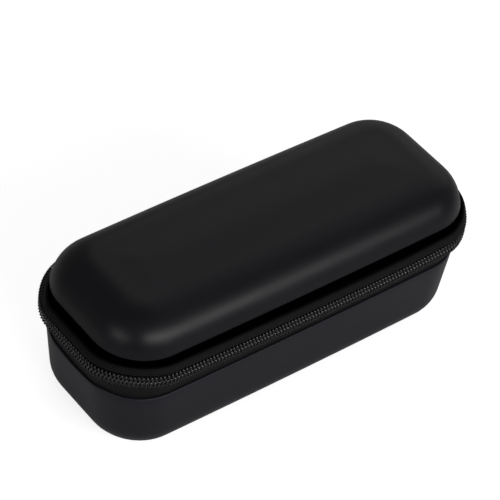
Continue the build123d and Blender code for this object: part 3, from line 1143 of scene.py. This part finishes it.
class CASE_OT_coils(bpy.types.Operator):
    """Both halves of the zipper's coil, with the thread that sews them to the tapes"""

    bl_idname = "case.coils"
    bl_label = "Zipper coils"

    def execute(self, context):
        shape = context.scene.case_shape
        zipper = context.scene.zipper_shape
        pitch = mm(zipper.pitch)
        radius = mm(zipper.filament) / 2
        nylon = finish_named("drawn nylon")
        thread = finish_named("sewing thread")
        thread_radius = mm(zipper.thread) / 2
        halves = (("upper_zip_coil", "lid", 1, 0.0), ("lower_zip_coil", "base", -1, 0.5))
        for node, body, side, phase in halves:
            middle = TAPE_FACE + COIL_DEPTH / 2
            piece = repeated(
                node + "_turns", coil_turn(pitch, radius, side),
                chain_line(shape, side, middle), zipper.pitch, phase, nylon,
            )
            dressed(piece, body, "nylon_coil", None, node)
            over = -COIL_DEPTH / 2 - thread_radius * 0.4
            dip = -COIL_DEPTH / 2 + 0.55
            row = 1.75 * side
            stitch = tube(
                "stitch",
                [
                    (-0.62 * pitch, dip, row - 0.12),
                    (-0.34 * pitch, (over + dip) / 2, row - 0.1),
                    (-0.1 * pitch, over, row),
                    (0.1 * pitch, over, row),
                    (0.34 * pitch, (over + dip) / 2, row + 0.1),
                    (0.62 * pitch, dip, row + 0.12),
                ],
                thread_radius, sides=5,
            )
            piece = repeated(
                node + "_thread", stitch, chain_line(shape, side, middle),
                zipper.pitch, phase, thread,
            )
            dressed(piece, body, "woven_tape", None)
        return {"FINISHED"}


class CASE_OT_bindings(bpy.types.Operator):
    """Cloth bindings round both mouths, with their stitches"""

    bl_idname = "case.bindings"
    bl_label = "Bindings"

    def execute(self, context):
        shape = context.scene.case_shape
        zipper = context.scene.zipper_shape
        inside = context.scene.inside_shape
        parting = mm(shape.parting)
        line = -WALL - 0.25
        for node, body, side, sewn in (
            ("lid_binding", "lid", 1, -1.85), ("base_binding", "base", -1, -1.4)
        ):
            fold = side * BINDING_FOLD
            corners = [(line, side * BINDING_LEG), (line, fold), (sewn, fold)]
            section = band(soft_line(corners, 0.35), BINDING_THICKNESS)
            piece = woven_grid(
                node + "_cloth", edge_grid(outline(shape), section, parting),
                round_rows=True, round_columns=True,
            )
            dressed(piece, body, "woven_tape", finish_named("woven polyester tape"), node)
            points, facings = outline(shape)
            points, facings = (
                np.vstack([part, part[:1]]) for part in (points, facings)
            )
            seam = ring(points, facings, line - 0.25, parting + side * BINDING_SEAM)
            radius = mm(zipper.thread) / 2
            stitch = tube(
                "stitch",
                [(-1.25, -0.15, 0), (-1.0, 0.1, 0), (0, 0.14, 0), (1.0, 0.1, 0),
                 (1.25, -0.15, 0)],
                radius, sides=5,
            )
            piece = repeated(
                node + "_stitches", stitch, seam, inside.stitch, 0.0,
                finish_named("sewing thread"),
            )
            dressed(piece, body, "woven_tape", None)
        return {"FINISHED"}


class CASE_OT_hinge(bpy.types.Operator):
    """Cloth hinge at the back, with its backing"""

    bl_idname = "case.hinge"
    bl_label = "Hinge"

    def execute(self, context):
        shape = context.scene.case_shape
        parting = mm(shape.parting)
        flat = TAPE_FACE - TAPE_THICKNESS / 2
        backing = flat - TAPE_THICKNESS / 2 - 0.25
        stations = hinge_line(shape, HINGE_HALF - HINGE_GAP)
        strips = (
            (
                "hinge_strip", TAPE_THICKNESS, "woven_tape", "woven polyester tape",
                [
                    (LID_SEWN_LINE, LID_SEWN_LEG[0]), (LID_SEWN_LINE, LID_SEWN_LEG[1]),
                    (flat, LID_TAPE_FLAT), (flat, BASE_TAPE_FLAT),
                    (BASE_SEWN_LINE, BASE_SEWN_LEG[1]), (BASE_SEWN_LINE, BASE_SEWN_LEG[0]),
                ],
            ),
            (
                "hinge_backing", BACKING_THICKNESS, "knit_lining", "brushed knit",
                [(backing, end) for end in BACKING_ENDS],
            ),
        )
        for node, thickness, slot, finish, corners in strips:
            section = band(soft_line(corners, SEAM_ROUND), thickness)
            piece = woven_grid(
                node + "_cloth", edge_grid(stations, section, parting),
                round_columns=True, caps=True,
            )
            piece.data.materials.append(finish_named(finish))
            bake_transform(piece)
            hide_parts(node)
        return {"FINISHED"}


def cast_copy(node, bevel):
    """A merged copy of a CAD node with its edges rounded."""
    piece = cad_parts[node].copy()
    piece.data = piece.data.copy()
    piece.name = node + "_cast"
    for key in [key for key in piece.keys() if key.startswith("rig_")]:
        del piece[key]
    piece.parent = None
    piece.matrix_world = Matrix.Identity(4)
    bpy.context.scene.collection.objects.link(piece)
    shape = bmesh.new()
    shape.from_mesh(piece.data)
    bmesh.ops.remove_doubles(shape, verts=shape.verts, dist=1e-6)
    bmesh.ops.dissolve_limit(
        shape, angle_limit=radians(2), verts=shape.verts, edges=shape.edges
    )
    bmesh.ops.recalc_face_normals(shape, faces=shape.faces)
    shape.to_mesh(piece.data)
    shape.free()
    rounding = piece.modifiers.new("rounded edges", "BEVEL")
    rounding.width = bevel
    rounding.segments = 2
    rounding.limit_method = "ANGLE"
    rounding.angle_limit = radians(35)
    piece.data.shade_smooth()
    piece.data.set_sharp_from_angle(angle=radians(35))
    bpy.context.view_layer.update()
    seen = piece.evaluated_get(bpy.context.evaluated_depsgraph_get())
    mesh = bpy.data.meshes.new_from_object(seen)
    piece.modifiers.clear()
    piece.data = mesh
    return piece


class CASE_OT_fittings(bpy.types.Operator):
    """Slider, its bridge, the pull tab and the stops, cast and coated"""

    bl_idname = "case.fittings"
    bl_label = "Slider and stops"

    def execute(self, context):
        zinc = finish_named("coated zinc")
        for node, body, bevel in (
            ("slider_body", "slider", 0.00015),
            ("slider_bridge", "slider", 0.0002),
            ("pull_tab", "puller", 0.0002),
            ("bottom_stop", "base", 0.00015),
            ("lower_top_stop", "base", 0.00015),
            ("upper_top_stop", "lid", 0.00015),
        ):
            dressed(cast_copy(node, bevel), body, "black_zinc", zinc, node)
        return {"FINISHED"}


class CASE_OT_strap(bpy.types.Operator):
    """Elastic strap across the base, sewn to the lining at both ends"""

    bl_idname = "case.strap"
    bl_label = "Device strap"

    def execute(self, context):
        shape = context.scene.case_shape
        inside = context.scene.inside_shape
        zipper = context.scene.zipper_shape
        reach = mm(shape.width) / 2 + mm(shape.side_bow) - WALL - STRAP_LAY
        height = mm(shape.parting) - STRAP_DEPTH
        half = mm(inside.strap_width) / 2
        line = soft_line(
            [(-reach, height + STRAP_LEG), (-reach, height), (reach, height),
             (reach, height + STRAP_LEG)],
            2.0, 1.0,
        )
        dip = mm(inside.strap_sag) * np.clip(1 - (line[:, 0] / (reach - 2)) ** 2, 0, 1)
        line[:, 1] -= dip
        section = band(line, STRAP_THICKNESS)
        across = np.array(
            [-half, -half + 0.15, -half + 0.45, 0, half - 0.45, half - 0.15, half]
        )
        slim = [0.55, 0.85, 1.0, 1.0, 1.0, 0.85, 0.55]
        middle = np.vstack([line, [line[-1]], line[::-1], [line[0]]])
        rows = []
        for x, share in zip(across, slim):
            around = middle + (section - middle) * share
            rows.append(np.column_stack([np.full(len(around), x), around]))
        grid = np.array(rows).transpose(1, 0, 2)
        piece = woven_grid("device_strap_cloth", grid, round_rows=True, smooth=50)
        shape_mesh = bmesh.new()
        shape_mesh.from_mesh(piece.data)
        edges = [edge for edge in shape_mesh.edges if edge.is_boundary]
        bmesh.ops.edgeloop_fill(shape_mesh, edges=edges)
        bmesh.ops.recalc_face_normals(shape_mesh, faces=shape_mesh.faces)
        shape_mesh.to_mesh(piece.data)
        shape_mesh.free()
        dressed(piece, "base", "elastic", finish_named("woven elastic"), "device_strap")
        radius = mm(zipper.thread) / 2
        for side, name in ((-1, "front"), (1, "back")):
            seams = []
            for level in (1.2, 3.8):
                seams.append([(half - 1.5, side * (reach - 0.6), height + level),
                              (-half + 1.5, side * (reach - 0.6), height + level)][::side])
            for number, seam in enumerate(seams):
                stitch = tube(
                    "stitch",
                    [(-0.9, -0.1, 0), (-0.7, 0.1, 0), (0.7, 0.1, 0), (0.9, -0.1, 0)],
                    radius, sides=5,
                )
                piece = repeated(
                    f"strap_stitches_{name}_{number + 1}", stitch, seam, 0.0023, 0.0,
                    finish_named("sewing thread"),
                )
                dressed(piece, "base", "woven_tape", None)
        return {"FINISHED"}


def net_cells(shape, cell, front, height):
    """Edges of a net of six-sided cells that fills the lid's mouth behind a line."""
    points, facings = outline(shape)
    mouth = points - facings * (WALL - 0.2)
    half_x = np.abs(mouth[:, 0]).max()
    half_y = mouth[:, 1].max()
    side = cell / sqrt(3)
    step_x, step_y = cell, side * 1.5
    corner = mm(shape.corner_radius) - WALL
    knots = {}
    edges = set()

    def knot(x, y):
        key = (round(x, 3), round(y, 3))
        return knots.setdefault(key, len(knots))

    def within(x, y):
        spare_x, spare_y = abs(x) - (half_x - corner), y - (half_y - 0.5 - corner)
        if spare_x > 0 and spare_y > 0 and spare_x**2 + spare_y**2 > corner**2:
            return False
        return abs(x) < half_x and front <= y < half_y - 0.1

    rows = int((half_y - front) / step_y) + 2
    columns = int(half_x / step_x) + 2
    for row in range(rows):
        for column in range(-columns, columns + 1):
            x = (column + (row % 2) / 2) * step_x
            y = front + side + row * step_y
            ring_points = [
                (x + side * sin(pi / 3 * k), y + side * cos(pi / 3 * k)) for k in range(6)
            ]
            for here, there in zip(ring_points, ring_points[1:] + ring_points[:1]):
                if within(*here) and within(*there):
                    pair = (knot(*here), knot(*there))
                    edges.add((min(pair), max(pair)))
    flat = np.array(list(knots))
    return np.column_stack([flat, np.full(len(flat), height)]), sorted(edges)


class CASE_OT_pocket(bpy.types.Operator):
    """Net pocket in the lid, with its elastic hem and the tape it is sewn in with"""

    bl_idname = "case.pocket"
    bl_label = "Net pocket"

    def execute(self, context):
        shape = context.scene.case_shape
        inside = context.scene.inside_shape
        parting = mm(shape.parting)
        height = parting + NET_HEIGHT
        edge = NET_FRONT
        points, edges = net_cells(shape, mm(inside.net_cell), edge - 1.5, height)
        belly = np.clip(1 - (points[:, 0] / 84) ** 2, 0, 1)
        belly *= np.clip(1 - ((points[:, 1] - 10) / 21) ** 2, 0, 1)
        points[:, 2] -= NET_BELLY * belly
        flat = bpy.data.meshes.new("net")
        flat.from_pydata(points * 0.001, edges, [])
        net = grown(
            "mesh_pocket_net", flat, tree_named("yarn on edges", net_group),
            {"Yarn": inside.net_yarn, "Material": finish_named("net yarn")},
        )
        dressed(net, "lid", "net", None, "mesh_pocket")
        spans = np.ptp(points[:, :2], axis=0) * 0.001
        corner = shape.corner_radius - WALL * 0.001

        half = mm(shape.length) / 2 - WALL
        across = np.linspace(-half + 0.1, half - 0.1, 90)
        middle = edge - HEM_HALF
        rows = []
        for x in across:
            gather = 0.05 * sin(x * 2 * pi / 3.1)
            angles = np.linspace(0, 2 * pi, 16, endpoint=False)
            y = middle + np.sign(np.cos(angles)) * np.abs(np.cos(angles)) ** 0.6 * HEM_HALF
            z = height - 0.3 + np.sin(angles) * (0.55 + gather)
            rows.append(np.column_stack([np.full(16, x), y, z]))
        hem = woven_grid("pocket_hem_cloth", np.array(rows), round_columns=True, caps=True)
        dressed(hem, "lid", "elastic", finish_named("woven elastic"), "pocket_hem")

        stations = outline(shape)
        kept = stations[0][:, 1] > edge - 4
        order = np.argsort(-turn_at_back(stations[0][kept]))
        rim_points = stations[0][kept][order]
        rim_facings = stations[1][kept][order]
        down_wall = [(-WALL - 0.25, 6.6), (-WALL - 0.3, 5.3), (-WALL - 0.25, 4.2)]
        section = band(np.array(down_wall), 0.45)
        seam = woven_grid(
            "pocket_seam_tape", edge_grid((rim_points, rim_facings), section, parting),
            round_columns=True, caps=True,
        )
        dressed(seam, "lid", "woven_tape", finish_named("woven polyester tape"))
        spans.prod() - (2 - pi / 2) * corner**2
        return {"FINISHED"}


def turn_at_back(points):
    """Angle of each point round the back of the case, from its right to its left."""
    return np.arctan2(points[:, 0], points[:, 1] + 200)


def facing_from(azimuth, elevation):
    """Direction from the case, turned from its front to its right, and up."""
    level = cos(elevation)
    return Vector((sin(azimuth) * level, -cos(azimuth) * level, sin(elevation)))


class CASE_OT_stage(bpy.types.Operator):
    """Floor, soft lamps and the camera"""

    bl_idname = "case.stage"
    bl_label = "Stage"

    def execute(self, context):
        scene = context.scene
        settings = scene.stage_settings
        floor = bpy.data.objects.new("floor", bpy.data.meshes.new("floor"))
        corners = [
            (x * FLOOR_HALF, y * FLOOR_HALF, 0) for x, y in ((-1, -1), (1, -1), (1, 1), (-1, 1))
        ]
        floor.data.from_pydata(corners, [], [(0, 1, 2, 3)])
        scene.collection.objects.link(floor)
        paper = bpy.data.materials.new("white paper")
        paper.use_nodes = True
        tree = paper.node_tree
        tree.nodes.clear()
        matt = put(tree, "ShaderNodeBsdfDiffuse", {"Color": (0.8, 0.8, 0.8, 1)})
        glow = put(tree, "ShaderNodeEmission", {"Color": (1, 1, 1, 1), "Strength": 0.78})
        both = put(tree, "ShaderNodeAddShader", (matt, glow))
        seen = put(tree, "ShaderNodeLightPath").outputs["Is Camera Ray"]
        pick = put(tree, "ShaderNodeMixShader", (seen, matt, both))
        put(tree, "ShaderNodeOutputMaterial", {"Surface": pick})
        floor.data.materials.append(paper)

        world = bpy.data.worlds.new("studio")
        scene.world = world
        world.use_nodes = True
        tree = world.node_tree
        tree.nodes.clear()
        room, white = (
            put(tree, "ShaderNodeBackground", {"Color": (1, 1, 1, 1), "Strength": strength})
            for strength in (settings.surround, 1.0)
        )
        seen = put(tree, "ShaderNodeLightPath").outputs["Is Camera Ray"]
        pick = put(tree, "ShaderNodeMixShader", (seen, room, white))
        put(tree, "ShaderNodeOutputWorld", {"Surface": pick})

        middle = Vector(VIEW_MIDDLE)
        for name, power, wide, tall, turn, rise, tilt in (
            ("front softbox", settings.key, 1.3, 0.34, 4, 26, -14),
            ("rear softbox", settings.fill, 1.5, 1.5, 120, 38, 0),
            ("left softbox", settings.edge, 0.6, 0.3, -80, 21, 0),
        ):
            lamp = bpy.data.lights.new(name, "AREA")
            lamp.energy = power
            lamp.shape = "RECTANGLE"
            lamp.size = wide
            lamp.size_y = tall
            holder = bpy.data.objects.new(name, lamp)
            scene.collection.objects.link(holder)
            away = facing_from(radians(turn), radians(rise)) * LAMP_AWAY
            holder.location = middle + away
            aim = away.to_track_quat("Z", "Y") @ Quaternion((0, 0, 1), radians(tilt))
            holder.rotation_euler = aim.to_euler()

        back = facing_from(settings.azimuth, settings.elevation)
        right = (-back).cross(Vector((0, 0, 1))).normalized()
        up = right.cross(-back)
        tilted_right = right * cos(settings.roll) + up * sin(settings.roll)
        tilted_up = up * cos(settings.roll) - right * sin(settings.roll)
        lens = bpy.data.cameras.new("camera")
        lens.sensor_width = 36.0
        lens.lens = settings.focal * lens.sensor_width
        lens.shift_x = (PICTURE / 2 - PICTURE_MIDDLE[0]) / PICTURE
        lens.shift_y = (PICTURE_MIDDLE[1] - PICTURE / 2) / PICTURE
        lens.clip_start = 0.05
        camera = bpy.data.objects.new("camera", lens)
        scene.collection.objects.link(camera)
        turn = Matrix((tilted_right, tilted_up, back)).transposed().to_4x4()
        camera.matrix_world = Matrix.Translation(middle + back * settings.distance) @ turn
        scene.camera = camera
        scene.view_settings.view_transform = "Standard"
        return {"FINISHED"}


class CASE_PT_panel(bpy.types.Panel):
    """Sizes, colours and pieces of the travel case"""

    bl_idname = "CASE_PT_panel"
    bl_label = "Travel Case"
    bl_space_type = "VIEW_3D"
    bl_region_type = "UI"
    bl_category = "Travel Case"

    def draw(self, context):
        for group, kind in property_groups.items():
            box = self.layout.box()
            for key in kind.__annotations__:
                box.prop(getattr(context.scene, group), key)
        for operator in operators:
            self.layout.operator(operator.bl_idname)


property_groups = {
    "case_shape": CaseShape,
    "zipper_shape": ZipperShape,
    "inside_shape": InsideShape,
    "case_colours": CaseColours,
    "stage_settings": StageSettings,
}
operators = (
    CASE_OT_stage,
    CASE_OT_covers,
    CASE_OT_linings,
    CASE_OT_tapes,
    CASE_OT_coils,
    CASE_OT_bindings,
    CASE_OT_hinge,
    CASE_OT_fittings,
    CASE_OT_strap,
    CASE_OT_pocket,
)


def register():
    """Adds the sizes, the operators and the panel."""
    for group, kind in property_groups.items():
        bpy.utils.register_class(kind)
        setattr(bpy.types.Scene, group, PointerProperty(type=kind))
    for kind in (*operators, CASE_PT_panel):
        bpy.utils.register_class(kind)


def unregister():
    """Takes them away again."""
    for kind in (CASE_PT_panel, *reversed(operators)):
        bpy.utils.unregister_class(kind)
    for group, kind in reversed(property_groups.items()):
        delattr(bpy.types.Scene, group)
        bpy.utils.unregister_class(kind)


def main():
    """Makes every piece."""
    register()
    for operator in operators:
        getattr(bpy.ops.case, operator.bl_idname.split(".")[1])()


if __name__ == "__main__":
    main()
